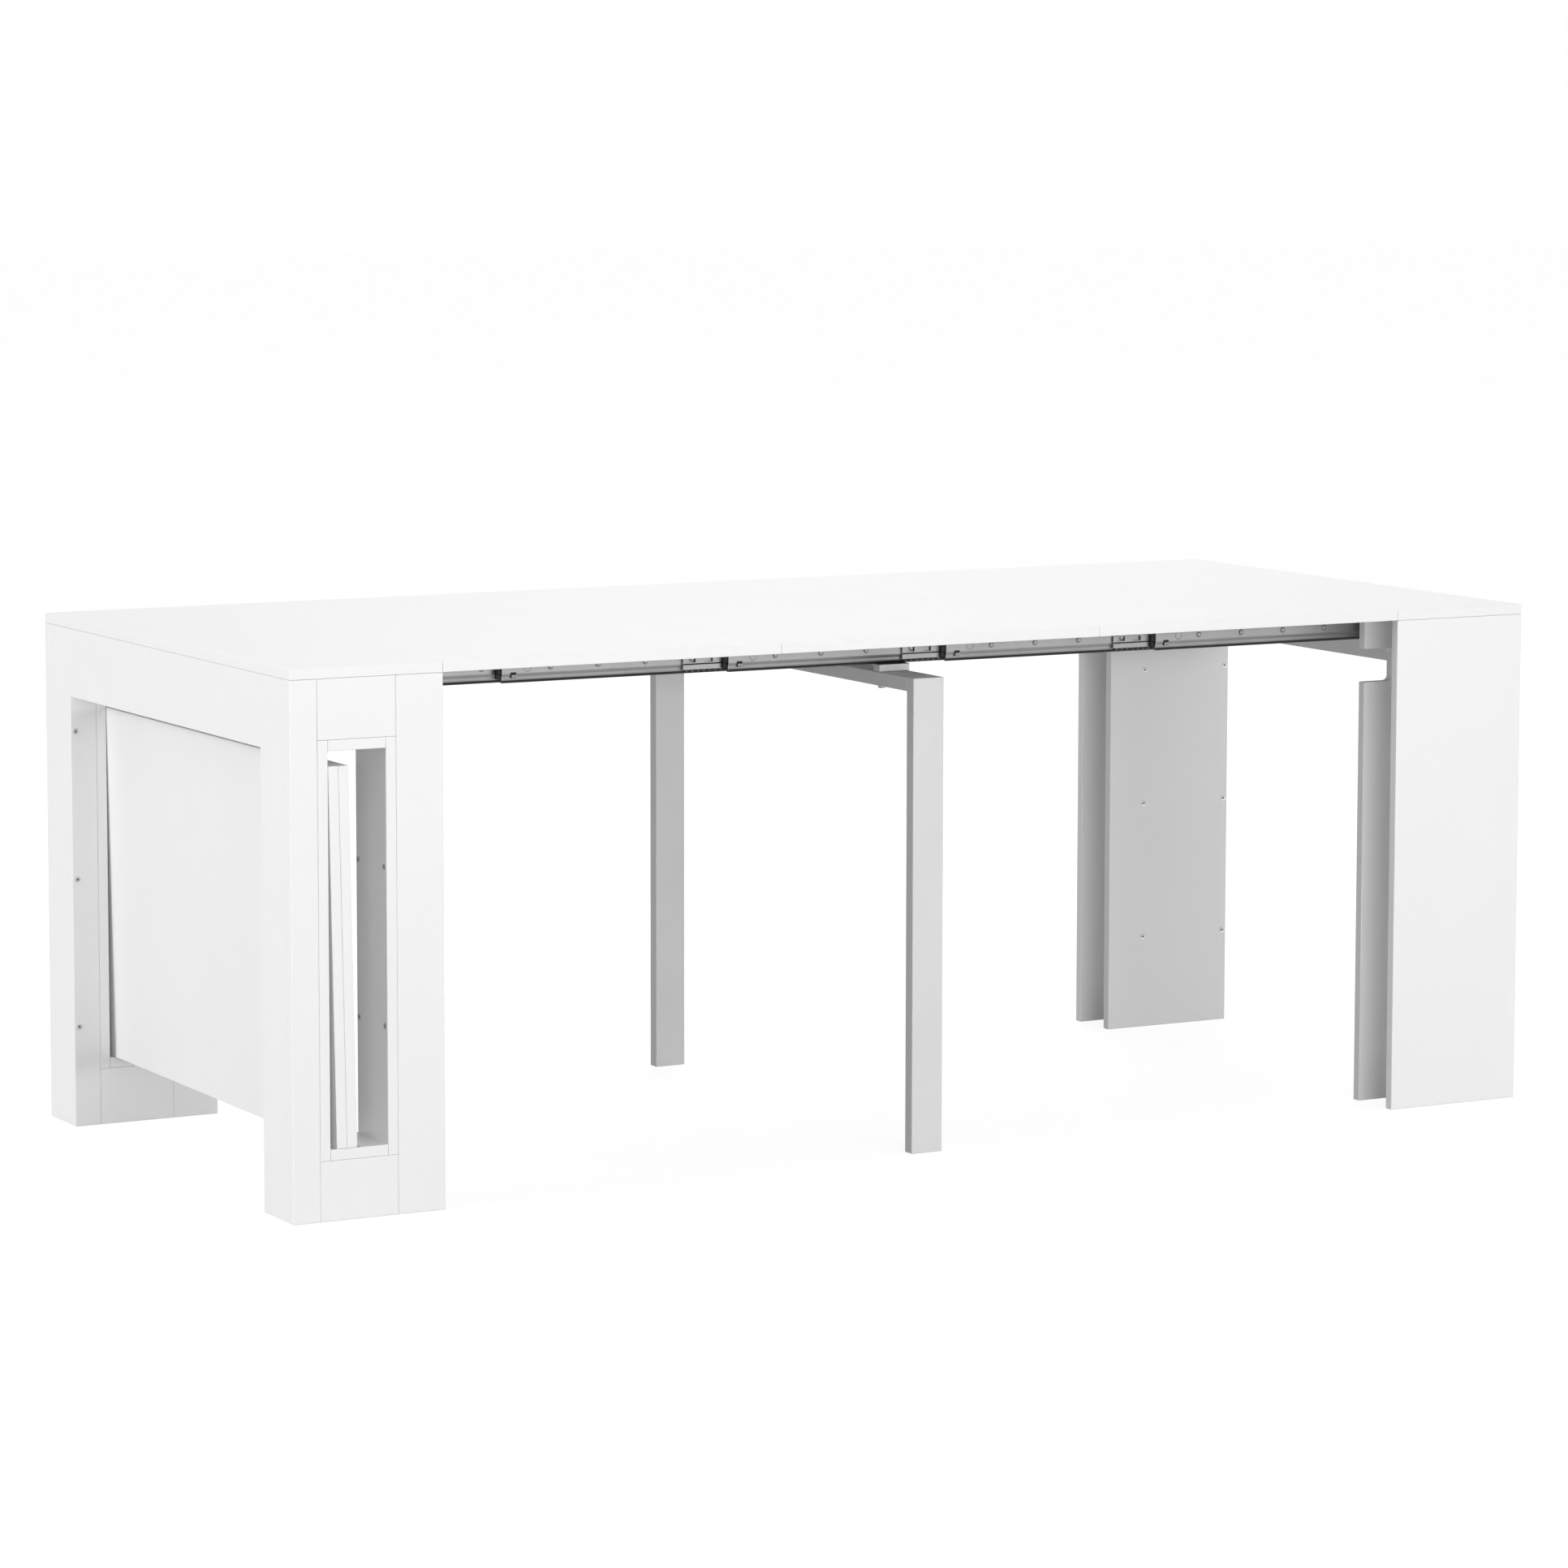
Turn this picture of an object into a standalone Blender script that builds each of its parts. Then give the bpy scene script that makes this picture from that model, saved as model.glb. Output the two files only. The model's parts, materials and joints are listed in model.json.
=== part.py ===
"""Extending dining table, opened for three leaves, with two spare leaves stored in its left legs.

The origin is on the floor under the middle of the table. +X runs along the table from the left unit to
the right unit that pulls out, and the near side is at -Y. Sizes are in metres.
"""

import math

import bmesh
import bpy
from mathutils import Matrix

# Whole table
WIDTH = 0.900
HEIGHT = 0.750
BOARD = 0.015
UNIT_LENGTH = 0.225
LEAF_LENGTH = 0.5194
LEAF_COUNT = 3
SEAM = 0.0003
EDGE = 0.0006

# Legs and aprons
LEG_WIDTH = 0.100
APRON_HEIGHT = 0.100

# Left legs, with the storage slot
FRONT_POST = 0.040
SLOT_WIDTH = 0.085
SLOT_HEADROOM = 0.0206
SLOT_SILL = 0.0825
STORED_COUNT = 2
STORED_FOOT = 0.0095

# Right legs, open towards the middle of the table
SPACER_SETBACK = 0.057
NOTCH_LENGTH = 0.050
NOTCH_HEIGHT = 0.050
NOTCH_RADIUS = 0.008

# Telescopic slides
SLIDE_COUNT = 5
SLIDE_HEIGHT = 0.039
SLIDE_PITCH = 0.013
SLIDE_SHEET = 0.0015
SLIDE_START = 0.038
SLIDE_OVERLAP = 0.0713
SLIDE_HOLD = 0.0696
BEND = 0.0075
BEND_FACETS = 6
RACE_FLAT = 0.0004
RACE_RISE = 0.0062
RACE_STEP = 0.0018
RACE_FACETS = 6
FLANGE_SETBACK = 0.0034
FLANGE_CUT = 0.0045

# Runners that the channels ride on
RUNNER_SHOW = 0.0678
RUNNER_COVER = 0.010
RUNNER_HOLD = 0.0593
RUNNER_INSET = 0.006
RUNNER_STRIP = 0.0067
RUNNER_LIP = 0.003
GROOVE_HEIGHT = 0.002
GROOVE_DEPTH = 0.002
WINDOW_LENGTH = 0.0132
WINDOW_HEIGHT = 0.0069
WINDOW_FIRST = 0.0067
WINDOW_SPACING = 0.0275
WINDOW_COUNT = 2

# Bearers between the slides and the units
BEARER_THICKNESS = 0.015
BEARER_FIT = 0.0004
BEARER_SETBACK = 0.020

# Centre frame
TUBE_DEPTH = 0.050
TUBE_THICKNESS = 0.020
TUBE_WALL = 0.0015
TUBE_EDGE = 0.0012
BLOCK_HEIGHT = 0.011
BLOCK_WIDTH = 0.018

# Places that follow from the sizes above
LENGTH = 2 * UNIT_LENGTH + LEAF_COUNT * LEAF_LENGTH
FLOOR = -SEAM / 2
TOP = HEIGHT + SEAM / 2
UNDERSIDE = TOP - BOARD
APRON_FOOT = UNDERSIDE - APRON_HEIGHT
RIGHT_UNIT = LENGTH - UNIT_LENGTH
SLOT_LEFT = FRONT_POST + BOARD
SLOT_RIGHT = SLOT_LEFT + SLOT_WIDTH
SLOT_FLOOR = SLOT_SILL + BOARD
SLOT_TOP = SLOT_FLOOR + LEAF_LENGTH + SLOT_HEADROOM
REAR_POST = SLOT_RIGHT + BOARD
SLIDE_STEP = (RIGHT_UNIT + SLIDE_HOLD - SLIDE_START - SLIDE_OVERLAP) / SLIDE_COUNT
SLIDE_LENGTH = SLIDE_STEP + SLIDE_OVERLAP
STAGE_TRAVEL = STORED_COUNT * LEAF_LENGTH / (SLIDE_COUNT - 1)
SLIDE_FOOT = UNDERSIDE - SLIDE_HEIGHT
SLIDE_DEPTH = SLIDE_PITCH - SEAM
SLIDE_FACE = LEG_WIDTH + BEARER_THICKNESS + SEAM / 2
BLOCK_FOOT = SLIDE_FOOT - BLOCK_HEIGHT
MIDDLE = SLIDE_COUNT // 2
FRAME_START = (LENGTH - TUBE_DEPTH) / 2

# Which side a piece is on, as the direction from its side of the table to the middle
SIDES = {"near": 1, "far": -1}

# How far a cut made past a face clears it
OVERCUT = 0.002

# How near points are joined into one, and the angle in degrees past which an edge is chamfered
WELD = 0.00001
SHARP = 40


def clear_scene():
    for obj in list(bpy.data.objects):
        bpy.data.objects.remove(obj, do_unlink=True)


def new_collection(name):
    collection = bpy.data.collections.new(name)
    bpy.context.scene.collection.children.link(collection)
    return collection


def new_material(name, colour, roughness, metallic=0.0):
    material = bpy.data.materials.new(name)
    material.use_nodes = True
    shader = material.node_tree.nodes["Principled BSDF"]
    shader.inputs["Base Color"].default_value = (*colour, 1.0)
    shader.inputs["Roughness"].default_value = roughness
    shader.inputs["Metallic"].default_value = metallic
    material.diffuse_color = (*colour, 1.0)
    return material


def move_to(obj, collection):
    for owner in list(obj.users_collection):
        owner.objects.unlink(obj)
    collection.objects.link(obj)


def across(side, start, end):
    """The Y span between two distances from the outer face of that side of the table."""
    return tuple(sorted(SIDES[side] * (distance - WIDTH / 2) for distance in (start, end)))


def inset(span):
    """A span drawn in by half a seam at both ends, so that neighbours keep a seam between them."""
    return span[0] + SEAM / 2, span[1] - SEAM / 2


def cube(name, x, y, z, collection):
    """A box that fills the spans exactly, with X measured from the left end of the table."""
    spans = (tuple(value - LENGTH / 2 for value in x), y, z)
    centre = [(low + high) / 2 for low, high in spans]
    size = [high - low for low, high in spans]
    bpy.ops.mesh.primitive_cube_add(size=1.0, location=centre)
    obj = bpy.context.object
    obj.name = name
    obj.data.name = name
    obj.data.transform(Matrix.Diagonal((*size, 1.0)))
    move_to(obj, collection)
    return obj


def chamfer(obj, width):
    bevel = obj.modifiers.new("Edges", "BEVEL")
    bevel.width = width
    bevel.segments = 1
    bevel.limit_method = "ANGLE"
    bevel.angle_limit = math.radians(SHARP)


def paint(obj, material):
    obj.data.materials.clear()
    obj.data.materials.append(material)


def board(name, x, y, z, material=None, edge=EDGE):
    """A board in its place, standing back half a seam on every face."""
    obj = cube(name, inset(x), inset(y), inset(z), PARTS)
    paint(obj, material or WHITE)
    chamfer(obj, edge)
    return obj


def cut(obj, cutter):
    """Take a cutter out of a piece, ahead of the piece's other modifiers."""
    cutter.hide_render = True
    cutter.display_type = "WIRE"
    boolean = obj.modifiers.new("Cut", "BOOLEAN")
    boolean.operation = "DIFFERENCE"
    boolean.object = cutter
    obj.modifiers.move(len(obj.modifiers) - 1, 0)


def extrude_outline(name, outline, along, span, material):
    """A closed outline drawn in the plane across X or Y, extruded over a span of that axis."""
    curve = bpy.data.curves.new(name, "CURVE")
    curve.dimensions = "2D"
    curve.fill_mode = "BOTH"
    curve.extrude = (span[1] - span[0]) / 2
    spline = curve.splines.new("POLY")
    spline.points.add(len(outline) - 1)
    for point, (across_value, up) in zip(spline.points, outline):
        point.co = (across_value, up, 0.0, 1.0)
    spline.use_cyclic_u = True
    drawn = bpy.data.objects.new(name + "_outline", curve)
    middle = (span[0] + span[1]) / 2
    if along == "X":
        drawn.location.x = middle
        drawn.rotation_euler = (math.pi / 2, 0.0, math.pi / 2)
    else:
        drawn.location.y = middle
        drawn.rotation_euler = (math.pi / 2, 0.0, 0.0)
    PARTS.objects.link(drawn)
    bpy.context.view_layer.update()
    depsgraph = bpy.context.evaluated_depsgraph_get()
    mesh = bpy.data.meshes.new_from_object(drawn.evaluated_get(depsgraph))
    mesh.name = name
    welded = bmesh.new()
    welded.from_mesh(mesh)
    bmesh.ops.remove_doubles(welded, verts=welded.verts, dist=WELD)
    bmesh.ops.recalc_face_normals(welded, faces=welded.faces)
    welded.to_mesh(mesh)
    welded.free()
    obj = bpy.data.objects.new(name, mesh)
    obj.matrix_world = drawn.matrix_world
    PARTS.objects.link(obj)
    bpy.data.objects.remove(drawn, do_unlink=True)
    bpy.data.curves.remove(curve)
    paint(obj, material)
    return obj


def arc(centre, radius, start, end, steps=6):
    """Points on a circle, from one angle in degrees to another."""
    angles = [math.radians(start + (end - start) * i / steps) for i in range(steps + 1)]
    return [(centre[0] + radius * math.cos(a), centre[1] + radius * math.sin(a)) for a in angles]


def bent_sheet(path, thickness):
    """The closed outline of a sheet bent along a path, its thickness laid to the right of the path."""
    normals = []
    for (x0, y0), (x1, y1) in zip(path, path[1:]):
        run = math.hypot(x1 - x0, y1 - y0)
        normals.append(((y1 - y0) / run, (x0 - x1) / run))
    inside = []
    for i, (x, y) in enumerate(path):
        before = normals[max(i - 1, 0)]
        after = normals[min(i, len(normals) - 1)]
        mitre = thickness / (1.0 + before[0] * after[0] + before[1] * after[1])
        inside.append((x + mitre * (before[0] + after[0]), y + mitre * (before[1] + after[1])))
    return path + inside[::-1]


def mirrored_path(lower, height):
    """A path's lower half followed by the same half turned over about mid height."""
    return lower + [(depth, height - up) for depth, up in reversed(lower)]


def slide_face(index):
    """How far the outer face of a channel lies from the side of the table."""
    return SLIDE_FACE + (SLIDE_COUNT - 1 - index) * SLIDE_PITCH


def slide_start(index):
    return SLIDE_START + index * SLIDE_STEP


def runner_span(index):
    """Where a runner starts and ends; the first starts inside its channel, and the others show."""
    mouth = slide_start(index)
    start = mouth - RUNNER_SHOW if index > 1 else mouth + RUNNER_COVER
    return start, mouth + STAGE_TRAVEL + RUNNER_HOLD


def profile_at(side, outline, face):
    """A slide profile, drawn as depth and height, placed on its side of the table."""
    low = SLIDE_FOOT + SEAM / 2
    return [(SIDES[side] * (face + depth - WIDTH / 2), low + up) for depth, up in outline]


def make_carrier(name, x):
    """An empty on the line that a sliding body moves along."""
    empty = bpy.data.objects.new(name, None)
    empty.location = (x - LENGTH / 2, 0.0, SLIDE_FOOT + SLIDE_HEIGHT / 2)
    empty.empty_display_size = SLIDE_HEIGHT
    PARTS.objects.link(empty)
    return empty


def carry(empty, pieces):
    """Parent pieces to the empty of their body without moving them."""
    bpy.context.view_layer.update()
    for piece in pieces:
        piece.parent = empty
        piece.matrix_parent_inverse = empty.matrix_world.inverted()


def make_top(name, start, length):
    side_to_side = (-WIDTH / 2, WIDTH / 2)
    return board(name, (start, start + length), side_to_side, (UNDERSIDE, TOP))


def make_leaves():
    for i in range(LEAF_COUNT):
        make_top(f"leaf_{i + 1}", UNIT_LENGTH + i * LEAF_LENGTH, LEAF_LENGTH)


def make_stored_leaves():
    """Spare leaves on edge in the slots, leaning with their tops against the slot's front wall."""
    length = LEAF_LENGTH - SEAM
    thickness = BOARD - SEAM
    lean = math.asin((STORED_FOOT - SEAM) / length)
    for i in range(STORED_COUNT):
        obj = make_top(f"stored_leaf_{i + 1}", 0.0, LEAF_LENGTH)
        foot = SLOT_LEFT + STORED_FOOT + i * BOARD / math.cos(lean) - LENGTH / 2
        up = (-math.sin(lean), math.cos(lean))
        out = (math.cos(lean), math.sin(lean))
        obj.location.x = foot + out[0] * thickness / 2 + up[0] * length / 2
        obj.location.z = SLOT_FLOOR + SEAM + out[1] * thickness / 2 + up[1] * length / 2
        obj.rotation_euler.y = math.pi / 2 - lean


def make_apron(name, start):
    between_legs = (LEG_WIDTH - WIDTH / 2, WIDTH / 2 - LEG_WIDTH)
    return board(name, (start, start + BOARD), between_legs, (APRON_FOOT, UNDERSIDE))


def make_left_leg(side):
    """A leg of boards round a lined slot that takes the stored leaves."""
    outer = across(side, 0.0, BOARD)
    inner = across(side, LEG_WIDTH - BOARD, LEG_WIDTH)
    between = across(side, BOARD, LEG_WIDTH - BOARD)
    through = across(side, 0.0, LEG_WIDTH)
    full = (FLOOR, UNDERSIDE)
    front = (0.0, FRONT_POST)
    rear = (REAR_POST, UNIT_LENGTH)
    core = (FRONT_POST, REAR_POST)
    name = f"{side}_left_"
    board(name + "front_outer", front, outer, full)
    board(name + "front_inner", front, inner, full)
    board(name + "front_board", (0.0, BOARD), between, full)
    board(name + "rear_outer", rear, outer, full)
    board(name + "rear_inner", rear, inner, full)
    board(name + "bottom_filler", core, through, (FLOOR, SLOT_SILL))
    board(name + "top_filler", core, through, (SLOT_TOP + BOARD, UNDERSIDE))
    liner = board(name + "slot_liner", core, through, (SLOT_SILL, SLOT_TOP + BOARD))
    past = (through[0] - OVERCUT, through[1] + OVERCUT)
    slot = cube(name + "slot", (SLOT_LEFT, SLOT_RIGHT), past, (SLOT_FLOOR, SLOT_TOP), CUTTERS)
    cut(liner, slot)


def notched_outline():
    """The right leg's inner board seen from the side, with a round-cornered notch in its open edge."""
    left, right = (value - LENGTH / 2 for value in inset((RIGHT_UNIT, LENGTH)))
    low, high = inset((FLOOR, UNDERSIDE))
    back = left + NOTCH_LENGTH
    notch_low = APRON_FOOT
    notch_high = APRON_FOOT + NOTCH_HEIGHT
    lower_corner = arc((back - NOTCH_RADIUS, notch_low + NOTCH_RADIUS), NOTCH_RADIUS, -90, 0)
    upper_corner = arc((back - NOTCH_RADIUS, notch_high - NOTCH_RADIUS), NOTCH_RADIUS, 0, 90)
    notch = [(left, notch_low)] + lower_corner + upper_corner + [(left, notch_high)]
    return [(left, high), (right, high), (right, low), (left, low)] + notch


def make_right_leg(side):
    """Two boards held apart, open towards the middle so that the centre frame can nest between them."""
    outer = across(side, 0.0, BOARD)
    inner = across(side, LEG_WIDTH - BOARD, LEG_WIDTH)
    between = across(side, BOARD, LEG_WIDTH - BOARD)
    full = (FLOOR, UNDERSIDE)
    spacer = RIGHT_UNIT + SPACER_SETBACK
    name = f"{side}_right_"
    notched = extrude_outline(name + "inner_board", notched_outline(), "Y", inset(inner), WHITE)
    chamfer(notched, EDGE)
    return [
        board(name + "outer_board", (RIGHT_UNIT, LENGTH), outer, full),
        notched,
        board(name + "spacer", (spacer, spacer + BOARD), between, full),
        board(name + "end_board", (LENGTH - BOARD, LENGTH), between, full),
    ]


def make_channel(side, index):
    """One channel of a slide, open towards the middle, with its web swept out from its races."""
    height = SLIDE_HEIGHT - SEAM
    bend = arc((RACE_STEP + BEND, BEND), BEND, 270, 180, BEND_FACETS)
    lower = [(SLIDE_DEPTH, 0.0)] + bend
    for i in range(RACE_FACETS + 1):
        share = i / RACE_FACETS
        depth = RACE_STEP * (1.0 + math.cos(math.pi * share)) / 2
        lower.append((depth, BEND + RACE_FLAT + RACE_RISE * share))
    outline = bent_sheet(mirrored_path(lower, height), SLIDE_SHEET)
    mouth = slide_start(index)
    start = mouth - LENGTH / 2
    face = slide_face(index)
    name = f"{side}_slide_{index}"
    placed = profile_at(side, outline, face)
    channel = extrude_outline(name, placed, "X", (start, start + SLIDE_LENGTH), ZINC)
    set_back = (mouth - OVERCUT, mouth + FLANGE_SETBACK)
    deep = across(side, face - OVERCUT, face + SLIDE_DEPTH + OVERCUT)
    foot = (SLIDE_FOOT - OVERCUT, SLIDE_FOOT + FLANGE_CUT)
    head = (UNDERSIDE - FLANGE_CUT, UNDERSIDE + OVERCUT)
    cut(channel, cube(name + "_foot_corner", set_back, deep, foot, CUTTERS))
    cut(channel, cube(name + "_head_corner", set_back, deep, head, CUTTERS))
    return channel


def make_runner(side, index):
    """The grooved runner that a channel rides on, fixed to the channel before it by its grooves."""
    height = SLIDE_HEIGHT - SEAM
    back = SLIDE_DEPTH - SLIDE_SHEET
    front = back - GROOVE_DEPTH
    groove = RUNNER_INSET + RUNNER_STRIP
    lower = [
        (front + RUNNER_LIP, RUNNER_INSET),
        (front, RUNNER_INSET),
        (front, groove),
        (back, groove),
        (back, groove + GROOVE_HEIGHT),
        (front, groove + GROOVE_HEIGHT),
    ]
    outline = bent_sheet(mirrored_path(lower, height), SLIDE_SHEET)
    start, end = runner_span(index)
    placed = profile_at(side, outline, slide_face(index))
    name = f"{side}_runner_{index}"
    runner = extrude_outline(name, placed, "X", (start - LENGTH / 2, end - LENGTH / 2), ZINC)
    web = slide_face(index) + front
    deep = across(side, web - OVERCUT / 2, web + SLIDE_SHEET + OVERCUT / 2)
    middle = SLIDE_FOOT + SLIDE_HEIGHT / 2
    tall = (middle - WINDOW_HEIGHT / 2, middle + WINDOW_HEIGHT / 2)
    for i in range(WINDOW_COUNT if index > 1 else 0):
        left = start + WINDOW_FIRST + i * WINDOW_SPACING
        cut(runner, cube(f"{name}_window_{i + 1}", (left, left + WINDOW_LENGTH), deep, tall, CUTTERS))
    return runner


def make_left_bearer(side):
    """A batten under the left top that the first channel fits over."""
    face = slide_face(0) + SLIDE_SHEET + RACE_STEP + BEARER_FIT
    reach = across(side, face, slide_face(0) + SLIDE_PITCH + BEARER_THICKNESS)
    fit = SLIDE_SHEET + BEARER_FIT
    tall = (SLIDE_FOOT + fit, UNDERSIDE - fit)
    board(f"{side}_left_bearer", (BOARD, UNIT_LENGTH), reach, tall, edge=BEND - SLIDE_SHEET)


def make_right_bearer(side):
    """A board on the right leg's inner face that the last channel is fixed to."""
    reach = across(side, LEG_WIDTH, LEG_WIDTH + BEARER_THICKNESS)
    along = (RIGHT_UNIT + BEARER_SETBACK, LENGTH - BOARD)
    return board(f"{side}_right_bearer", along, reach, (SLIDE_FOOT, UNDERSIDE))


def make_tube(name, x, y, z, hollow):
    """A rectangular tube, cut hollow by a second box."""
    tube = board(name, x, y, z, STEEL, TUBE_EDGE)
    cut(tube, cube(name + "_hollow", *hollow, CUTTERS))
    return tube


def make_centre_leg(side):
    """A tube leg, closed at its top and open at its foot."""
    depth = (FRAME_START, FRAME_START + TUBE_DEPTH)
    reach = across(side, (LEG_WIDTH - TUBE_THICKNESS) / 2, (LEG_WIDTH + TUBE_THICKNESS) / 2)
    hollow_depth = (depth[0] + TUBE_WALL, depth[1] - TUBE_WALL)
    hollow_reach = (reach[0] + TUBE_WALL, reach[1] - TUBE_WALL)
    hollow = (hollow_depth, hollow_reach, (FLOOR - OVERCUT, BLOCK_FOOT - TUBE_WALL))
    return make_tube(f"{side}_centre_leg", depth, reach, (FLOOR, BLOCK_FOOT), hollow)


def make_crossbar():
    """The tube between the two centre legs."""
    depth = (FRAME_START, FRAME_START + TUBE_DEPTH)
    half = WIDTH / 2 - (LEG_WIDTH + TUBE_THICKNESS) / 2
    tall = (BLOCK_FOOT - TUBE_THICKNESS, BLOCK_FOOT)
    hollow_depth = (depth[0] + TUBE_WALL, depth[1] - TUBE_WALL)
    hollow_tall = (tall[0] + TUBE_WALL, tall[1] - TUBE_WALL)
    hollow = (hollow_depth, (-half - OVERCUT, half + OVERCUT), hollow_tall)
    return make_tube("centre_crossbar", depth, (-half, half), tall, hollow)


def make_spacer_block(side):
    """The block between the crossbar and the middle channel."""
    depth = (FRAME_START, FRAME_START + TUBE_DEPTH)
    middle = slide_face(MIDDLE) + SLIDE_DEPTH / 2
    reach = across(side, middle - BLOCK_WIDTH / 2, middle + BLOCK_WIDTH / 2)
    return board(f"{side}_spacer_block", depth, reach, (BLOCK_FOOT, SLIDE_FOOT), ZINC)


def make_left_unit():
    make_top("left_top", 0.0, UNIT_LENGTH)
    make_apron("left_apron", 0.0)
    for side in SIDES:
        make_left_leg(side)
        make_left_bearer(side)
        make_channel(side, 0)
        make_runner(side, 1)


def make_stage(index):
    """The pieces of both slides that move together at one stage of the extension."""
    pieces = [make_channel(side, index) for side in SIDES]
    if index < SLIDE_COUNT - 1:
        pieces += [make_runner(side, index + 1) for side in SIDES]
    return pieces


def make_centre_frame():
    pieces = [make_crossbar()]
    for side in SIDES:
        pieces += [make_centre_leg(side), make_spacer_block(side)]
    return pieces


def make_right_unit():
    pieces = [make_top("right_top", RIGHT_UNIT, UNIT_LENGTH), make_apron("right_apron", LENGTH - BOARD)]
    for side in SIDES:
        pieces += make_right_leg(side)
        pieces.append(make_right_bearer(side))
    return pieces


def make_table():
    make_left_unit()
    make_leaves()
    make_stored_leaves()
    for index in range(1, SLIDE_COUNT):
        pieces = make_stage(index)
        if index == MIDDLE:
            pieces += make_centre_frame()
        if index == SLIDE_COUNT - 1:
            pieces += make_right_unit()
        carry(make_carrier(f"stage_{index}_line", slide_start(index)), pieces)


clear_scene()
PARTS = new_collection("extending_dining_table")
CUTTERS = new_collection("cutters")
WHITE = new_material("white_lacquer", (0.90, 0.90, 0.90), 0.35)
STEEL = new_material("grey_painted_steel", (0.60, 0.61, 0.62), 0.40, 0.5)
ZINC = new_material("zinc_plated_steel", (0.52, 0.53, 0.54), 0.35, 0.9)
make_table()
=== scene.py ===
"""Looks of the extending dining table: its finishes, fastenings and slide fittings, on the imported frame.

Lengths are in metres on the frame's own axes: +X along the table, the near side at -Y and +Z up.
"""

import json
import math

import bmesh
import bpy
from mathutils import Matrix, Vector

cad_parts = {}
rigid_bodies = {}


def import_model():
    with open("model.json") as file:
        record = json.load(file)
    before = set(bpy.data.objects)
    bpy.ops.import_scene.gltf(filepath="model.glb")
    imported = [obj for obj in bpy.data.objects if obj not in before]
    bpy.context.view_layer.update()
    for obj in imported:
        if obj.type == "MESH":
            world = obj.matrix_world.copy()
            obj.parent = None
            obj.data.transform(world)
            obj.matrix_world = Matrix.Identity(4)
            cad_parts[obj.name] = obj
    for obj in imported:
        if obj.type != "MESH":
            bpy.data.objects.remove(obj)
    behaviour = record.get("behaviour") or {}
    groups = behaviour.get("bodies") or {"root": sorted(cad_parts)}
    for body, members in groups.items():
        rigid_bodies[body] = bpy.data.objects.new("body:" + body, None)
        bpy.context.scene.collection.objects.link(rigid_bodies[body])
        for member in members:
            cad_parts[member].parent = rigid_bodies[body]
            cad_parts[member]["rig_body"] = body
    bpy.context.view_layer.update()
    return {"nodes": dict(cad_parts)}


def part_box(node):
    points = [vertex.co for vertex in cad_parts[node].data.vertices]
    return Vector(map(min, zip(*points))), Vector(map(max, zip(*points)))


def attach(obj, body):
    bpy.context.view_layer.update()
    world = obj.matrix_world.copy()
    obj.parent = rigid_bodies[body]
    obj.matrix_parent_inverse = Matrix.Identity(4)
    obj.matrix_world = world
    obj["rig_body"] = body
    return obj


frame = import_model()
NODES = frame["nodes"]

# The outward direction along Y of each side of the table
SIDES = {"near": -1, "far": 1}

# Camera
CAMERA_PLACE = (-3.8912, -7.1287, 1.5165)
CAMERA_YAW = math.radians(28.558)
CAMERA_PITCH = math.radians(6.246)
CAMERA_ROLL = math.radians(0.086)
CAMERA_LENS = 126.07
CAMERA_SENSOR = 36.0
CAMERA_SHIFT = -0.0598

# Light all round, and each lamp's name, place, target, size and power
WORLD_STRENGTH = 0.50
LAMPS = (
    ("high_back_lamp", (2.4, 3.8, 5.0), (0.0, 0.0, 0.6), (3.0, 3.0), 134.0),
    ("high_front_lamp", (0.0, -4.9, 5.2), (0.0, 0.0, 0.4), (3.0, 3.0), 12.0),
    ("low_front_lamp", (-0.1, -6.5, 1.0), (0.0, 0.0, 0.5), (5.4, 1.4), 187.0),
    ("right_front_lamp", (4.6, -6.2, 1.0), (0.5, 0.0, 0.5), (4.0, 1.4), 60.0),
    ("left_front_lamp", (-5.0, -6.0, 1.0), (0.0, 0.0, 0.4), (2.4, 1.4), 45.0),
    ("left_lamp", (-8.0, 0.0, 2.4), (-1.0, 0.0, 0.4), (2.0, 3.0), 290.0),
)

# Floor: how far it reaches and lies below the feet, its tone for bounced light and for shadows, its glow
FLOOR_REACH = 40.0
FLOOR_DROP = 0.0005
FLOOR_BOUNCE = 0.22
FLOOR_SHADE = 0.24
FLOOR_GLOW = 0.87

# How a finish drifts between its two tones, and the detail and strength of its grain
TONE_LOW = 0.3
TONE_HIGH = 0.7
TONE_DETAIL = 3.0
GRAIN_DETAIL = 2.0
BUMP_STRENGTH = 0.5
DRAWN_OUT = (0.02, 1.0, 1.0)

# Slide channels, as the frame has them
SLIDE_COUNT = 5
RACE_STEP = 0.0018
BEND = 0.0075
RUNNER_FRONT = 0.0092
WEB_FOOT = 0.0147

# Fittings on each channel, from its left end and its foot
SLIDE_SCREW_FIRST = 0.075
SLIDE_SCREW_SPACING = 0.074
SLIDE_SCREW_COUNT = 4
SLIDE_SCREW_UP = 0.0211
FIRST_SLIDE_SHIFT = 0.0265
LUG_START = 0.013
LUG_LENGTH = 0.0092
LUG_UP = 0.0073
LUG_HEIGHT = 0.0082
LUG_CORNER = 0.0008
LUG_SLOT_RISE = 0.00012
LUG_EDGE = 0.0016
LUG_TAB = 0.0044
LUG_KNEE = 0.0024
LUG_RISE = 0.0009
LUG_TIP_RISE = 0.00054
LUG_SHEET = 0.0003
LUG_GAP = 0.0002
MARK_START = 0.0395
MARK_UP = 0.0212
# The black strip of painted shade round the bend at each channel's foot: its thickness, gap, setback, reach,
# angles and facets
FOOT_SHADE_THICKNESS = 0.0002
FOOT_SHADE_GAP = 0.00002
FOOT_SHADE_SETBACK = 0.0034
FOOT_SHADE_REACH = 0.0095
FOOT_SHADE_START = math.radians(207)
FOOT_SHADE_END = math.radians(270)
FOOT_SHADE_FACETS = 6
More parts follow.
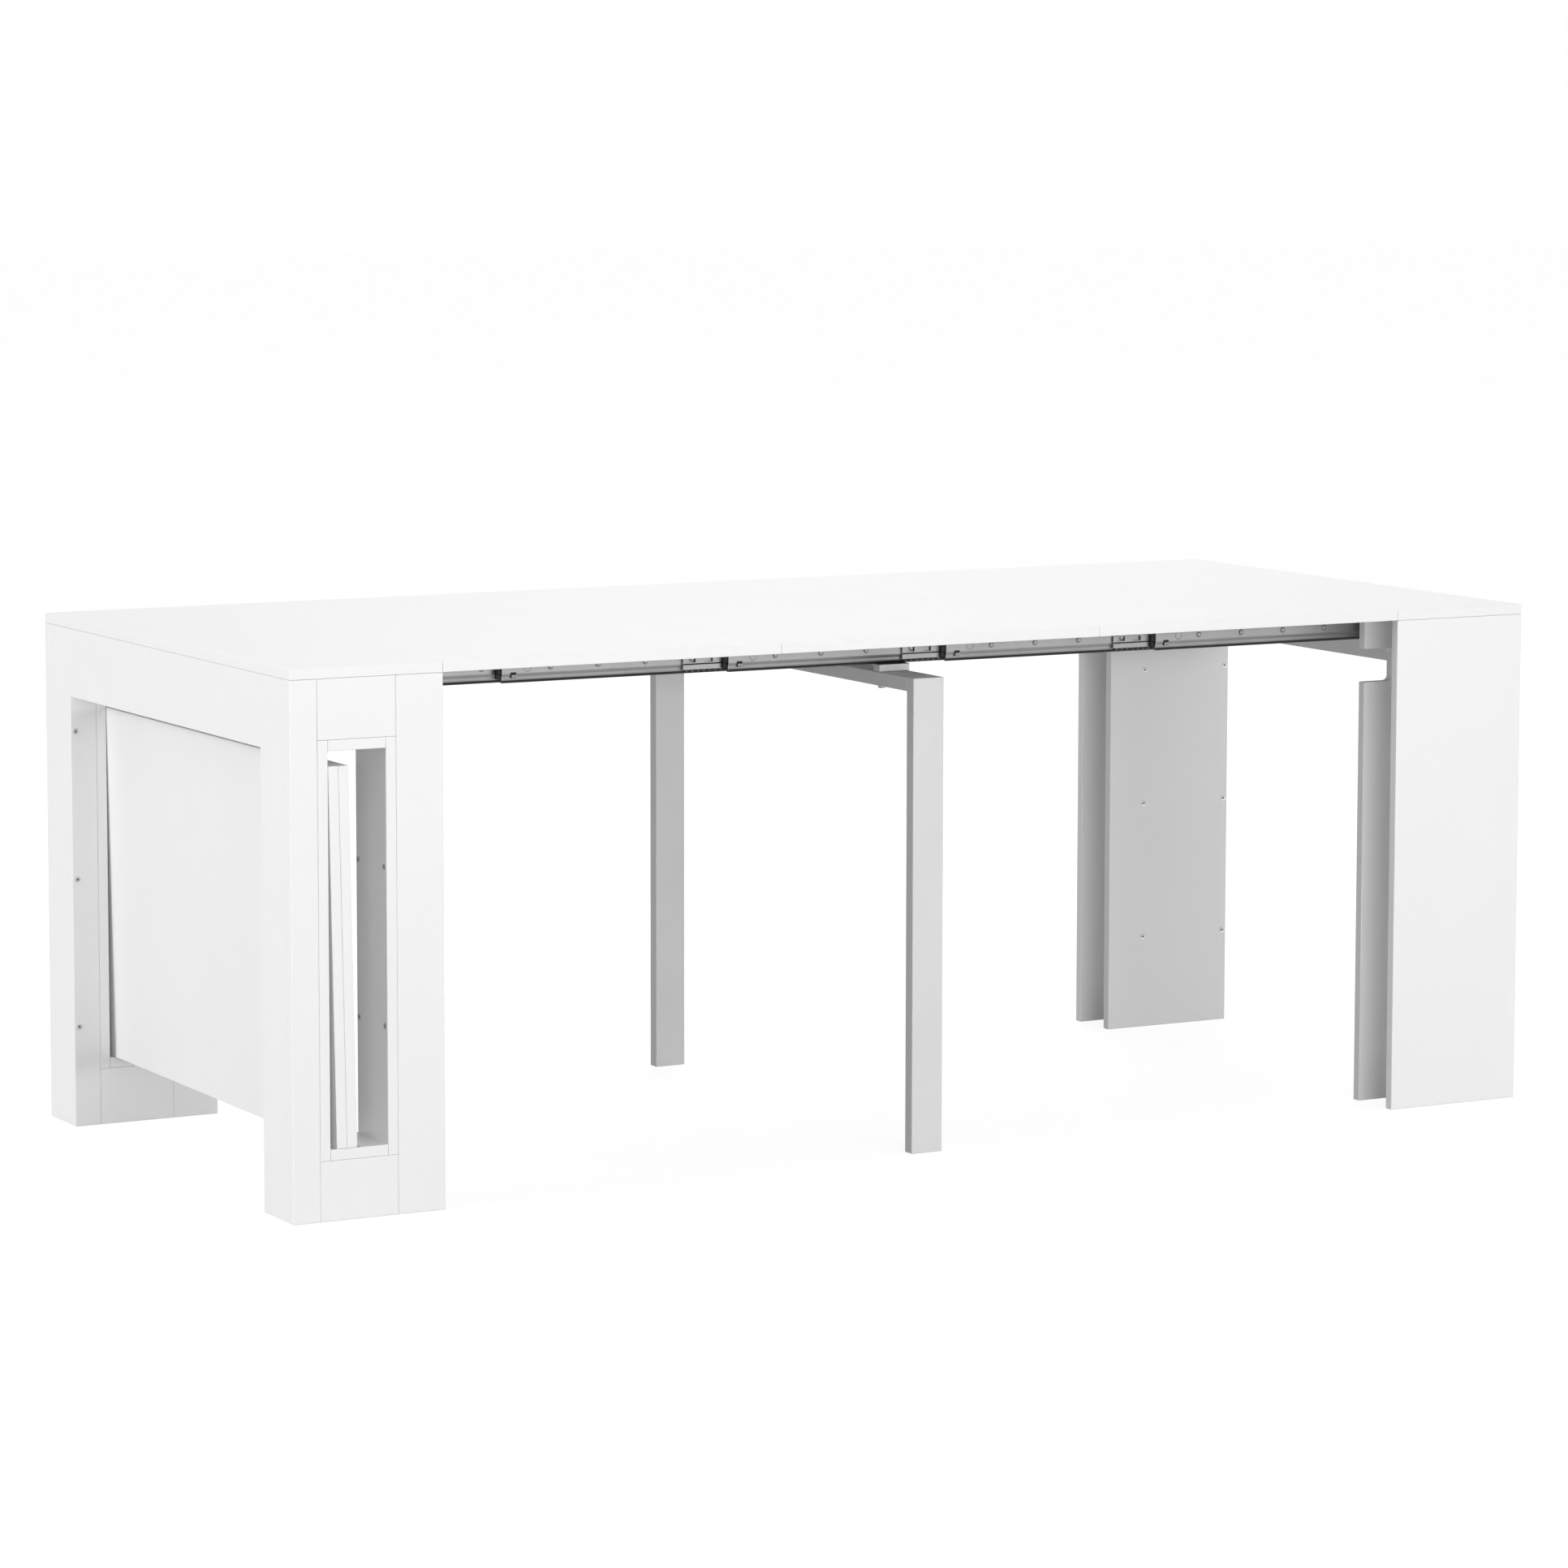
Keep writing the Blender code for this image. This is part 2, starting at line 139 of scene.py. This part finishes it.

# Ball cage rows and groove strips on the runners, and a black block in each channel's mouth; the groove
# strips and the block are painted shade
CAGE_INSET = 0.001
CAGE_FOOT = 0.0028
CAGE_HEIGHT = 0.0030
CAGE_FRONT = 0.0090
CAGE_BACK = 0.0118
CAGE_CORNER = 0.0005
CAGE_INSIDE = 0.060
GROOVE_FRONT = 0.0095
GROOVE_BACK = 0.0112
GROOVE_FOOT = 0.0128
GROOVE_TOP = 0.0146
BALL_RADIUS = 0.0016
BALL_SINK = 0.0008
BALL_SPACING = 0.0092
BALL_SEGMENTS = 10
BALL_RINGS = 6
# Reach, length and outline of the black block that paints the shade in each channel's mouth
MOUTH_SHADE_SHOW = 0.0068
MOUTH_SHADE_LENGTH = 0.018
MOUTH_SHADE_FRONT = 0.0019
MOUTH_SHADE_RACE_FRONT = 0.0038
MOUTH_SHADE_SLOPE = 0.002
MOUTH_SHADE_FOOT = 0.0064
MOUTH_SHADE_CLEARANCE = 0.0004

# Board screws, and the hairline seams between the slot's boards
BOARD = 0.015
SCREW_LEVELS = (0.148, 0.366, 0.584)
LINER_SCREW_LEVELS = (0.2586, 0.4757)
LINER_SCREW_INSET = 0.007
SEAM_WIDTH = 0.0003
SEAM_RISE = 0.00004

# Plugs in the tube feet, and the bolts of the centre frame
TUBE_WALL = 0.0015
PLUG_FIT = 0.0003
PLUG_RECESS = 0.0008
PLUG_PLATE = 0.003
PLUG_CORNER = 0.0004
PLUG_HEIGHT = 0.018
RIB_SHARES = (0.15, 0.5, 0.85)
RIB_THICKNESS = 0.0016
RIB_CORNER = 0.0006
BOLT_SPACING = 0.032

# Sides of a turned head
SEGMENTS = 24

# Which of a piece's two finishes a face has; the dark one is painted shade in openings, gaps, grooves and
# recesses
METAL = 0
DARK = 1


def grey(value):
    return (value, value, value)


def opaque(tone):
    return (*tone, 1.0)


def look(name, dark, light, rough, metallic=0.0, mottle=8.0, grain=700.0,
         stretch=(1.0, 1.0, 1.0), relief=0.00002, specular=0.5):
    """A finish whose colour drifts between two tones, with its own grain in its gloss and relief."""
    material = bpy.data.materials.new(name)
    material.use_nodes = True
    tree = material.node_tree
    shader = tree.nodes["Principled BSDF"]
    shader.inputs["Metallic"].default_value = metallic
    shader.inputs["Specular IOR Level"].default_value = specular
    place = tree.nodes.new("ShaderNodeTexCoord")
    mapping = tree.nodes.new("ShaderNodeMapping")
    mapping.inputs["Scale"].default_value = stretch
    tree.links.new(place.outputs["Object"], mapping.inputs["Vector"])
    broad = tree.nodes.new("ShaderNodeTexNoise")
    broad.inputs["Scale"].default_value = mottle
    broad.inputs["Detail"].default_value = TONE_DETAIL
    tree.links.new(place.outputs["Object"], broad.inputs["Vector"])
    tones = tree.nodes.new("ShaderNodeValToRGB")
    tones.color_ramp.elements[0].position = TONE_LOW
    tones.color_ramp.elements[1].position = TONE_HIGH
    tones.color_ramp.elements[0].color = opaque(dark)
    tones.color_ramp.elements[1].color = opaque(light)
    tree.links.new(broad.outputs["Fac"], tones.inputs["Fac"])
    tree.links.new(tones.outputs["Color"], shader.inputs["Base Color"])
    fine = tree.nodes.new("ShaderNodeTexNoise")
    fine.inputs["Scale"].default_value = grain
    fine.inputs["Detail"].default_value = GRAIN_DETAIL
    tree.links.new(mapping.outputs["Vector"], fine.inputs["Vector"])
    gloss = tree.nodes.new("ShaderNodeMapRange")
    gloss.inputs["To Min"].default_value = rough[0]
    gloss.inputs["To Max"].default_value = rough[1]
    tree.links.new(fine.outputs["Fac"], gloss.inputs["Value"])
    tree.links.new(gloss.outputs["Result"], shader.inputs["Roughness"])
    bump = tree.nodes.new("ShaderNodeBump")
    bump.inputs["Strength"].default_value = BUMP_STRENGTH
    bump.inputs["Distance"].default_value = relief
    tree.links.new(fine.outputs["Fac"], bump.inputs["Height"])
    tree.links.new(bump.outputs["Normal"], shader.inputs["Normal"])
    return material


LACQUER = look("white_lacquer", grey(0.886), grey(0.898), (0.34, 0.44))
PAINT = look("grey_powder_coat", grey(0.685), grey(0.715), (0.38, 0.52), grain=1400.0, relief=0.00003)
ZINC = look("zinc_plate", grey(0.230), grey(0.256), (0.40, 0.52),
            metallic=0.85, mottle=30.0, grain=1800.0, stretch=DRAWN_OUT)
BRIGHT_ZINC = look("bright_zinc_plate", grey(0.29), grey(0.33), (0.40, 0.52),
                   metallic=0.85, mottle=30.0, grain=1800.0)
STEEL = look("screw_steel", grey(0.50), grey(0.60), (0.25, 0.40),
             metallic=0.6, mottle=200.0, grain=2500.0)
# Dark steel for the balls, also used as painted shade in the screws' sockets and round flush heads
DARK_STEEL_AND_SHADE = look("dark_steel_and_shade", grey(0.09), grey(0.15), (0.30, 0.45),
               metallic=0.6, mottle=200.0, grain=2500.0)
# Black plastic for the foot plugs and ball cage rows, black for the board seams, and painted shade for the
# mouth blocks, foot strips, groove strips, lug openings and screw gaps
BLACK = look("black_plastic_and_painted_shade", grey(0.010), grey(0.018), (0.45, 0.65),
             mottle=60.0, grain=2500.0, specular=0.2)


def finish_nodes():
    """Give every node of the frame its finish."""
    for name, node in NODES.items():
        finish = LACQUER
        if "slide" in name or "runner" in name:
            finish = ZINC
        elif "block" in name:
            finish = BRIGHT_ZINC
        elif "centre" in name:
            finish = PAINT
        for material_slot in node.material_slots:
            material_slot.material = finish


def add_piece(name, mesh, materials, body):
    """Turn a finished mesh into a piece that rides on a body."""
    bmesh.ops.recalc_face_normals(mesh, faces=mesh.faces)
    data = bpy.data.meshes.new(name)
    mesh.to_mesh(data)
    mesh.free()
    for material in materials:
        data.materials.append(material)
    piece = bpy.data.objects.new(name, data)
    bpy.context.scene.collection.objects.link(piece)
    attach(piece, body)
    return piece


def stand(point, normal):
    """A place on a surface, with the local Z axis along the surface's normal."""
    return Matrix.Translation(point) @ Vector(normal).to_track_quat("Z", "Y").to_matrix().to_4x4()


def hexagon_reach(angle):
    """How far a hexagon reaches in a direction, as a share of its corners' radius."""
    return math.cos(math.pi / 6) / math.cos(angle % (math.pi / 3) - math.pi / 6)


def round_reach(angle):
    return 1.0


def add_turned(mesh, place, rings):
    """A head from rings of radius, height, outline and the finish of the band that leads to it."""
    loops = []
    for radius, height, outline, _ in rings:
        loop = []
        for i in range(SEGMENTS):
            angle = math.tau * i / SEGMENTS
            reach = radius * outline(angle)
            point = Vector((reach * math.cos(angle), reach * math.sin(angle), height))
            loop.append(mesh.verts.new(place @ point))
        loops.append(loop)
    for (lower, upper), ring in zip(zip(loops, loops[1:]), rings[1:]):
        for i in range(SEGMENTS):
            j = (i + 1) % SEGMENTS
            mesh.faces.new((lower[i], lower[j], upper[j], upper[i])).material_index = ring[3]
    mesh.faces.new(loops[0][::-1])
    mesh.faces.new(loops[-1]).material_index = rings[-1][3]


def add_prism(mesh, outline, start, end):
    """An outline in Y and Z extruded along X."""
    ends = [[mesh.verts.new((x, y, z)) for y, z in outline] for x in (start, end)]
    count = len(outline)
    for i in range(count):
        j = (i + 1) % count
        mesh.faces.new((ends[0][i], ends[0][j], ends[1][j], ends[1][i]))
    mesh.faces.new(ends[0][::-1])
    mesh.faces.new(ends[1])


def rounded_box(low, high, corner):
    """The outline of a box in two axes with its corners cut."""
    (left, foot), (right, top) = low, high
    return [
        (left + corner, foot), (right - corner, foot), (right, foot + corner), (right, top - corner),
        (right - corner, top), (left + corner, top), (left, top - corner), (left, foot + corner),
    ]


# Heads as rings of radius, height, outline and finish, from the surface up and into the recess; the dark
# rings are painted shade round a head's rim, in its grooves and in its recess
BOARD_SCREW = (
    (0.0046, 0.0, round_reach, METAL),
    (0.0046, 0.0004, round_reach, METAL),
    (0.0042, 0.0008, round_reach, METAL),
    (0.0026, 0.0006, round_reach, METAL),
    (0.0020, 0.0006, hexagon_reach, METAL),
    (0.0018, 0.0001, hexagon_reach, DARK),
)
FLUSH_SCREW = (
    (0.0044, 0.0, round_reach, DARK),
    (0.0044, 0.0001, round_reach, DARK),
    (0.0040, 0.0001, round_reach, DARK),
    (0.0038, 0.0002, round_reach, METAL),
    (0.0020, 0.0002, hexagon_reach, METAL),
    (0.0018, 0.0001, hexagon_reach, DARK),
)
SLIDE_SCREW = (
    (0.0042, 0.0, round_reach, DARK),
    (0.0042, 0.0002, round_reach, DARK),
    (0.0038, 0.0002, round_reach, DARK),
    (0.0037, 0.0005, round_reach, METAL),
    (0.0031, 0.0006, round_reach, METAL),
    (0.0030, 0.0004, round_reach, DARK),
    (0.0029, 0.0016, round_reach, METAL),
    (0.0025, 0.0021, round_reach, METAL),
    (0.0014, 0.0023, round_reach, METAL),
)
ROUND_MARK = (
    (0.0058, 0.0, round_reach, METAL),
    (0.0058, 0.0002, round_reach, METAL),
    (0.0056, 0.0002, round_reach, METAL),
    (0.0052, 0.0001, round_reach, DARK),
    (0.0050, 0.00015, round_reach, METAL),
)
BOLT_HEAD = (
    (0.0065, 0.0, round_reach, METAL),
    (0.0065, 0.0010, round_reach, METAL),
    (0.0058, 0.0010, hexagon_reach, METAL),
    (0.0058, 0.0036, hexagon_reach, METAL),
    (0.0050, 0.0040, round_reach, METAL),
    (0.0020, 0.0040, round_reach, METAL),
)


class Slide:
    """One channel of the frame, with places on it given from its left end, its face and its foot."""

    def __init__(self, side, index):
        self.name = f"{side}_slide_{index}"
        self.low, self.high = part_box(self.name)
        self.inward = -SIDES[side]
        self.face = self.low.y if side == "near" else self.high.y
        self.body = NODES[self.name]["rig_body"]

    def at(self, along, depth, up):
        return Vector((self.low.x + along, self.face + self.inward * depth, self.low.z + up))

    def profile(self, outline):
        """An outline of depths and heights on this channel, as places in Y and Z."""
        return [(self.face + self.inward * depth, self.low.z + up) for depth, up in outline]

    def turned_over(self, outline):
        """The same outline mirrored about the channel's mid height."""
        height = self.high.z - self.low.z
        return [(depth, height - up) for depth, up in outline]


def add_lug(mesh, slide):
    """A lanced lug: its slot, a black plate of painted shade for the opening, and the bent tab that stands
    over the slot's lower part.
    """
    slot = rounded_box((0.0, LUG_UP), (LUG_LENGTH, LUG_UP + LUG_HEIGHT), LUG_CORNER)
    # The slot's back and rim are black: painted shade of the opening behind the tab
    back = [mesh.verts.new(slide.at(LUG_START + along, -LUG_SLOT_RISE, up)) for along, up in slot]
    mesh.faces.new(back).material_index = DARK
    rim = [mesh.verts.new(slide.at(LUG_START + along, 0.0, up)) for along, up in slot]
    for i in range(len(slot)):
        j = (i + 1) % len(slot)
        mesh.faces.new((rim[i], rim[j], back[j], back[i])).material_index = DARK
    left = LUG_START + LUG_EDGE
    right = LUG_START + LUG_LENGTH
    rows = [(LUG_UP, 0.0), (LUG_UP + LUG_KNEE, LUG_RISE), (LUG_UP + LUG_TAB, LUG_TIP_RISE)]
    sheets = []
    for thickness in (0.0, LUG_SHEET):
        sheet = []
        for up, rise in rows:
            depth = thickness - LUG_GAP - rise
            sheet.append([mesh.verts.new(slide.at(along, depth, up)) for along in (left, right)])
        sheets.append(sheet)
    outer, inner = sheets
    for i in range(len(rows) - 1):
        mesh.faces.new((outer[i][0], outer[i][1], outer[i + 1][1], outer[i + 1][0]))
        mesh.faces.new((inner[i][0], inner[i + 1][0], inner[i + 1][1], inner[i][1]))
        for end in (0, 1):
            mesh.faces.new((outer[i][end], outer[i + 1][end], inner[i + 1][end], inner[i][end]))
    for i in (0, -1):
        mesh.faces.new((outer[i][0], outer[i][1], inner[i][1], inner[i][0]))


def add_foot_shade_strip(slide):
    """The black strip round the bend at a channel's foot: painted shade for the dark bend."""
    tape = bmesh.new()
    middle = RACE_STEP + BEND
    angles = [FOOT_SHADE_START + (FOOT_SHADE_END - FOOT_SHADE_START) * i / FOOT_SHADE_FACETS for i in range(FOOT_SHADE_FACETS + 1)]
    paths = []
    for radius in (BEND + FOOT_SHADE_THICKNESS, BEND + FOOT_SHADE_GAP):
        path = [(middle + radius * math.cos(angle), BEND + radius * math.sin(angle)) for angle in angles]
        paths.append(path + [(FOOT_SHADE_REACH, BEND - radius)])
    outline = paths[0] + paths[1][::-1]
    add_prism(tape, slide.profile(outline), slide.low.x + FOOT_SHADE_SETBACK, slide.high.x)
    add_piece(slide.name + "_foot_shade_strip", tape, (BLACK,), slide.body)


def dress_channel(side, index):
    """Screws, lug and round mark on a channel's outer face, and the black strip of painted shade at its foot.
    """
    slide = Slide(side, index)
    if index == 0:
        slide.low.x += FIRST_SLIDE_SHIFT
    outward = (0.0, SIDES[side], 0.0)
    fittings = bmesh.new()
    for i in range(SLIDE_SCREW_COUNT):
        along = SLIDE_SCREW_FIRST + i * SLIDE_SCREW_SPACING
        add_turned(fittings, stand(slide.at(along, 0.0, SLIDE_SCREW_UP), outward), SLIDE_SCREW)
    add_turned(fittings, stand(slide.at(MARK_START, 0.0, MARK_UP), outward), ROUND_MARK)
    add_lug(fittings, slide)
    # Black here is painted shade: round the screws, in the mark's groove and in the lug's opening
    add_piece(slide.name + "_fittings", fittings, (ZINC, BLACK), slide.body)
    # Painted shade: a black strip round the channel's foot
    add_foot_shade_strip(slide)


def add_mouth_shade(slide):
    """A black block in a channel's mouth, painted shade for the dark mouth."""
    mouth_shade = bmesh.new()
    lower = [
        (RUNNER_FRONT - MOUTH_SHADE_CLEARANCE, MOUTH_SHADE_FOOT),
        (MOUTH_SHADE_RACE_FRONT, MOUTH_SHADE_FOOT),
        (MOUTH_SHADE_RACE_FRONT, WEB_FOOT - MOUTH_SHADE_SLOPE),
        (MOUTH_SHADE_FRONT, WEB_FOOT),
    ]
    outline = lower + slide.turned_over(lower)[::-1]
    start = slide.low.x - MOUTH_SHADE_SHOW
    add_prism(mouth_shade, slide.profile(outline), start, start + MOUTH_SHADE_LENGTH)
    add_piece(slide.name + "_stop", mouth_shade, (BLACK,), slide.body)


def dress_runner(side, index):
    """A ball cage row and black groove strips along a runner, and a black block in the mouth of the channel
    on it; the groove strips and the block are painted shade.
    """
    slide = Slide(side, index)
    name = f"{side}_runner_{index}"
    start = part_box(name)[0].x + CAGE_INSET
    end = slide.low.x + CAGE_INSIDE
    body = NODES[name]["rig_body"]
    cage_and_shade_mesh = bmesh.new()
    balls = bmesh.new()
    # Black strips in the runner's groove: painted shade of the gap between its upper plate and lower strip
    groove = [
        (GROOVE_FRONT, GROOVE_FOOT),
        (GROOVE_BACK, GROOVE_FOOT),
        (GROOVE_BACK, GROOVE_TOP),
        (GROOVE_FRONT, GROOVE_TOP),
    ]
    for strip in (groove, slide.turned_over(groove)):
        add_prism(cage_and_shade_mesh, slide.profile(strip), start, end)
    cage = rounded_box((CAGE_FRONT, CAGE_FOOT), (CAGE_BACK, CAGE_FOOT + CAGE_HEIGHT), CAGE_CORNER)
    for outline in (cage, slide.turned_over(cage)):
        add_prism(cage_and_shade_mesh, slide.profile(outline), start, end)
        height = sum(up for _, up in outline) / len(outline)
        for i in range(int((end - start) / BALL_SPACING)):
            along = start + (i + 0.5) * BALL_SPACING - slide.low.x
            centre = Matrix.Translation(slide.at(along, CAGE_FRONT + BALL_SINK, height))
            bmesh.ops.create_uvsphere(balls, u_segments=BALL_SEGMENTS, v_segments=BALL_RINGS,
                                      radius=BALL_RADIUS, matrix=centre)
    # The real ball cage rows, and the painted shade in the grooves
    add_piece(name + "_ball_cage_and_groove_shade", cage_and_shade_mesh, (BLACK,), body)
    shown = add_piece(name + "_balls", balls, (DARK_STEEL_AND_SHADE,), body)
    shown.data.polygons.foreach_set("use_smooth", [True] * len(shown.data.polygons))
    # A black block painting the shade in the mouth of the channel on this runner
    add_mouth_shade(slide)


def add_board_screws(name, body, spots, normal, head=BOARD_SCREW):
    """One piece with a screw head at each spot."""
    mesh = bmesh.new()
    for spot in spots:
        add_turned(mesh, stand(spot, normal), head)
    # The dark finish paints the shade in each head's socket and round a flush head's rim
    add_piece(name, mesh, (STEEL, DARK_STEEL_AND_SHADE), body)


def add_liner_seams(side):
    """Hairlines on both faces of the leg, where the slot's sill and head meet its two upright boards."""
    low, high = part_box(f"{side}_left_slot_liner")
    mesh = bmesh.new()
    for face, proud in ((low.y, low.y - SEAM_RISE), (high.y, high.y + SEAM_RISE)):
        for foot in (low.z, high.z - BOARD):
            top = foot + BOARD
            strip = [(face, foot), (proud, foot), (proud, top), (face, top)]
            for seam in (low.x + BOARD, high.x - BOARD):
                add_prism(mesh, strip, seam - SEAM_WIDTH / 2, seam + SEAM_WIDTH / 2)
    add_piece(f"{side}_slot_liner_seams", mesh, (BLACK,), "base")


def dress_legs(side):
    """The screws in the leg boards' inner faces and in the storage slot, and the slot's seams."""
    inward = -SIDES[side]
    low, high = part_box(f"{side}_left_front_inner")
    across = high.y if inward > 0 else low.y
    spots = [(low.x + BOARD / 2, across, level) for level in SCREW_LEVELS]
    add_board_screws(f"{side}_left_leg_screws", "base", spots, (0.0, inward, 0.0))
    low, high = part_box(f"{side}_right_inner_board")
    across = high.y if inward > 0 else low.y
    spacer_low, spacer_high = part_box(f"{side}_right_spacer")
    columns = ((spacer_low.x + spacer_high.x) / 2, high.x - BOARD / 2)
    spots = [(column, across, level) for column in columns for level in SCREW_LEVELS]
    add_board_screws(f"{side}_right_leg_screws", "end_unit", spots, (0.0, inward, 0.0))
    low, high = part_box(f"{side}_left_slot_liner")
    wall = high.x - BOARD
    rows = (low.y + LINER_SCREW_INSET, high.y - LINER_SCREW_INSET)
    spots = [(wall, row, level) for row in rows for level in LINER_SCREW_LEVELS]
    add_board_screws(f"{side}_slot_screws", "base", spots, (-1.0, 0.0, 0.0))
    spots = [((low.x + high.x) / 2, row, low.z + BOARD) for row in rows]
    add_board_screws(f"{side}_slot_floor_screws", "base", spots, (0.0, 0.0, 1.0), FLUSH_SCREW)
    add_liner_seams(side)


def add_plug(side):
    """The plug in a tube leg's foot: a plate with upright ribs."""
    low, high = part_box(f"{side}_centre_leg")
    gap = TUBE_WALL + PLUG_FIT
    near, far = low.y + gap, high.y - gap
    shoulder = PLUG_RECESS + PLUG_PLATE
    plug = bmesh.new()
    add_prism(plug, rounded_box((near, PLUG_RECESS), (far, shoulder), PLUG_CORNER), low.x + gap, high.x - gap)
    for share in RIB_SHARES:
        middle = low.x + share * (high.x - low.x)
        rib = rounded_box((near, shoulder), (far, PLUG_HEIGHT), RIB_CORNER)
        add_prism(plug, rib, middle - RIB_THICKNESS / 2, middle + RIB_THICKNESS / 2)
    add_piece(f"{side}_centre_leg_plug", plug, (BLACK,), "centre_frame")


def dress_centre_frame():
    """Plugs in the tube feet, and the bolts that hold the crossbar to the middle channels."""
    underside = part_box("centre_crossbar")[0].z
    bolts = bmesh.new()
    for side in SIDES:
        add_plug(side)
        low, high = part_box(f"{side}_spacer_block")
        centre = (low + high) / 2
        for along in (-BOLT_SPACING / 2, BOLT_SPACING / 2):
            spot = (centre.x + along, centre.y, underside)
            add_turned(bolts, stand(spot, (0.0, 0.0, -1.0)), BOLT_HEAD)
    add_piece("crossbar_bolts", bolts, (STEEL, BLACK), "centre_frame")


def background_rays(tree):
    """One for the rays that show the background: straight to the camera, reflected or let through."""
    path = tree.nodes.new("ShaderNodeLightPath")
    total = path.outputs["Is Camera Ray"]
    for name in ("Is Glossy Ray", "Is Transmission Ray"):
        step = tree.nodes.new("ShaderNodeMath")
        step.operation = "MAXIMUM"
        tree.links.new(total, step.inputs[0])
        tree.links.new(path.outputs[name], step.inputs[1])
        total = step.outputs["Value"]
    return total


def make_world():
    """Even white light from all round, on a white background."""
    world = bpy.data.worlds.new("studio")
    bpy.context.scene.world = world
    world.use_nodes = True
    tree = world.node_tree
    light = tree.nodes["Background"]
    light.inputs["Color"].default_value = opaque(grey(1.0))
    light.inputs["Strength"].default_value = WORLD_STRENGTH
    white = tree.nodes.new("ShaderNodeBackground")
    white.inputs["Color"].default_value = opaque(grey(1.0))
    white.inputs["Strength"].default_value = 1.0
    mix = tree.nodes.new("ShaderNodeMixShader")
    tree.links.new(background_rays(tree), mix.inputs["Fac"])
    tree.links.new(light.outputs["Background"], mix.inputs[1])
    tree.links.new(white.outputs["Background"], mix.inputs[2])
    tree.links.new(mix.outputs["Shader"], tree.nodes["World Output"].inputs["Surface"])


def make_floor():
    """A pale floor that shows white and keeps a faint shadow."""
    mesh = bmesh.new()
    bmesh.ops.create_grid(mesh, x_segments=1, y_segments=1, size=FLOOR_REACH)
    data = bpy.data.meshes.new("floor")
    mesh.to_mesh(data)
    mesh.free()
    floor = bpy.data.objects.new("floor", data)
    floor.location.z = -FLOOR_DROP
    bpy.context.scene.collection.objects.link(floor)
    material = bpy.data.materials.new("pale_floor")
    material.use_nodes = True
    tree = material.node_tree
    tree.nodes.remove(tree.nodes["Principled BSDF"])
    bounce = tree.nodes.new("ShaderNodeBsdfDiffuse")
    bounce.inputs["Color"].default_value = opaque(grey(FLOOR_BOUNCE))
    shadow = tree.nodes.new("ShaderNodeBsdfDiffuse")
    shadow.inputs["Color"].default_value = opaque(grey(FLOOR_SHADE))
    glow = tree.nodes.new("ShaderNodeEmission")
    glow.inputs["Color"].default_value = opaque(grey(1.0))
    glow.inputs["Strength"].default_value = FLOOR_GLOW
    shown = tree.nodes.new("ShaderNodeAddShader")
    tree.links.new(shadow.outputs["BSDF"], shown.inputs[0])
    tree.links.new(glow.outputs["Emission"], shown.inputs[1])
    mix = tree.nodes.new("ShaderNodeMixShader")
    tree.links.new(background_rays(tree), mix.inputs["Fac"])
    tree.links.new(bounce.outputs["BSDF"], mix.inputs[1])
    tree.links.new(shown.outputs["Shader"], mix.inputs[2])
    tree.links.new(mix.outputs["Shader"], tree.nodes["Material Output"].inputs["Surface"])
    data.materials.append(material)


def make_lamp(name, place, target, size, power):
    """An area lamp turned towards its target."""
    lamp = bpy.data.lights.new(name, "AREA")
    lamp.shape = "RECTANGLE"
    lamp.size, lamp.size_y = size
    lamp.energy = power
    holder = bpy.data.objects.new(name, lamp)
    holder.location = place
    holder.rotation_euler = (Vector(target) - Vector(place)).to_track_quat("-Z", "Y").to_euler()
    bpy.context.scene.collection.objects.link(holder)


def make_camera():
    """The camera, turned by its yaw, pitch and roll from looking along +Y."""
    data = bpy.data.cameras.new("camera")
    data.sensor_width = CAMERA_SENSOR
    data.lens = CAMERA_LENS
    data.shift_y = CAMERA_SHIFT
    camera = bpy.data.objects.new("camera", data)
    turn = Matrix.Rotation(-CAMERA_YAW, 4, "Z") @ Matrix.Rotation(math.pi / 2 - CAMERA_PITCH, 4, "X")
    camera.matrix_world = Matrix.Translation(CAMERA_PLACE) @ turn @ Matrix.Rotation(CAMERA_ROLL, 4, "Z")
    bpy.context.scene.collection.objects.link(camera)
    bpy.context.scene.camera = camera


finish_nodes()
for side in SIDES:
    for index in range(SLIDE_COUNT):
        dress_channel(side, index)
    for index in range(1, SLIDE_COUNT):
        dress_runner(side, index)
    dress_legs(side)
dress_centre_frame()
make_world()
make_floor()
for lamp in LAMPS:
    make_lamp(*lamp)
make_camera()
bpy.context.scene.view_settings.view_transform = "Standard"
